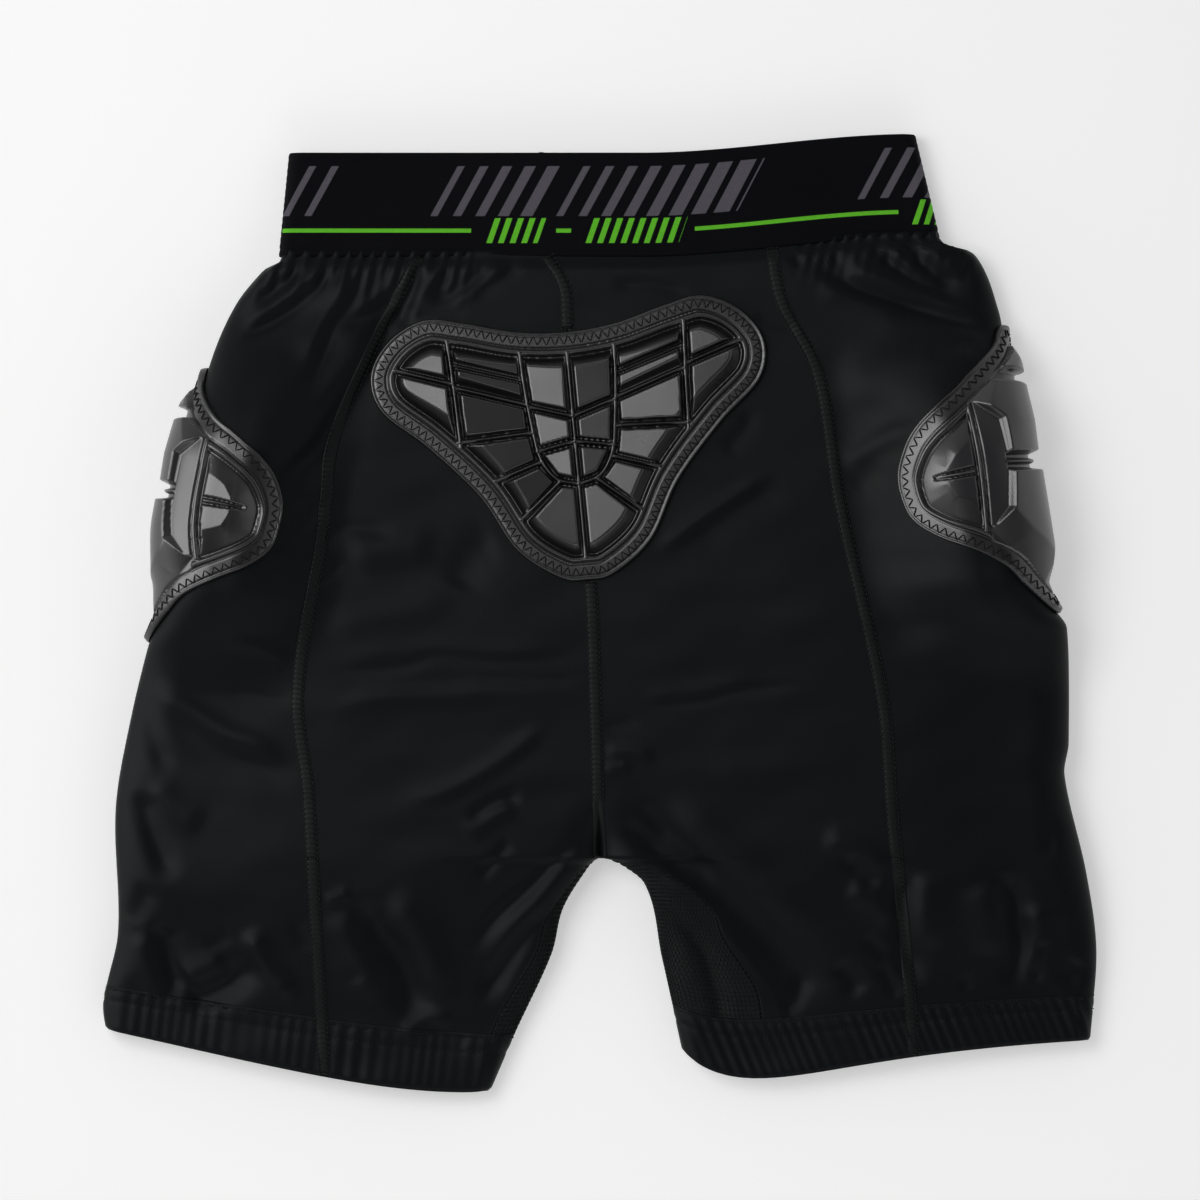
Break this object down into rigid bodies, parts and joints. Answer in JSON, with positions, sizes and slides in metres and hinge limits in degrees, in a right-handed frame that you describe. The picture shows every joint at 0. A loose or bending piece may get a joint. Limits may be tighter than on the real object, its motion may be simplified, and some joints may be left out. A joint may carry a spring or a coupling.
{
  "type": "padded impact shorts",
  "caption": "Close-fitting shorts with moulded tailbone and hip pads sewn on, elastic waistband, mesh thigh gussets and elasticated hems, lying flat on their front.",
  "frame": {"origin": "middle of the footprint, on the surface the shorts lie on", "axes": "+Y from the hems to the waistband, +Z out of the back of the shorts, -X to the wearer's left"},
  "size_m": [0.4776, 0.4612, 0.0547],
  "materials": {
    "elastic": "woven elastic, matt black, with grey and green bars woven in",
    "spandex": "smooth satin stretch knit, near black",
    "mesh": "open knit mesh, matt black",
    "thread": "twisted polyester thread, black",
    "pad_foam": "moulded foam, satin dark grey with glossy block tops",
    "lining": "fine matt lining, dark grey"
  },
  "bodies": {
    "hips": {"waistband": "elastic", "waistband_join": "thread", "seat_panel_left": "spandex", "hip_panel_left": "spandex", "front_panel_left": "spandex", "back_seam_left": "thread", "front_seam_left": "thread", "seat_panel_right": "spandex", "hip_panel_right": "spandex", "front_panel_right": "spandex", "back_seam_right": "thread", "front_seam_right": "thread", "centre_seam_upper": "thread", "centre_seam_lower": "thread", "centre_seam_front": "thread", "tailbone_pad": "pad_foam", "tailbone_pad_stitch": "thread", "tailbone_pad_lining": "lining", "hip_pad_left": "pad_foam", "hip_pad_stitch_left": "thread", "hip_pad_lining_left": "lining", "hip_pad_right": "pad_foam", "hip_pad_stitch_right": "thread", "hip_pad_lining_right": "lining"},
    "left_leg": {"left_leg_side_panel": "spandex", "left_leg_back_panel": "spandex", "left_leg_front_panel": "spandex", "left_thigh_mesh": "mesh", "left_hem_band": "spandex", "left_hem_elastic": "elastic", "left_leg_back_seam": "thread", "left_leg_front_seam": "thread"},
    "right_leg": {"right_leg_side_panel": "spandex", "right_leg_back_panel": "spandex", "right_leg_front_panel": "spandex", "right_thigh_mesh": "mesh", "right_hem_band": "spandex", "right_hem_elastic": "elastic", "right_leg_back_seam": "thread", "right_leg_front_seam": "thread"}
  },
  "joints": [
    {"name": "left_leg_fold", "type": "hinge", "parent": "hips", "child": "left_leg", "pos_m": [-0.118, -0.11739, 0.0272], "axis": [-1, 0, 0], "range_deg": [0, 150]},
    {"name": "right_leg_fold", "type": "hinge", "parent": "hips", "child": "right_leg", "pos_m": [0.118, -0.11739, 0.0272], "axis": [-1, 0, 0], "range_deg": [0, 150]}
  ]
}
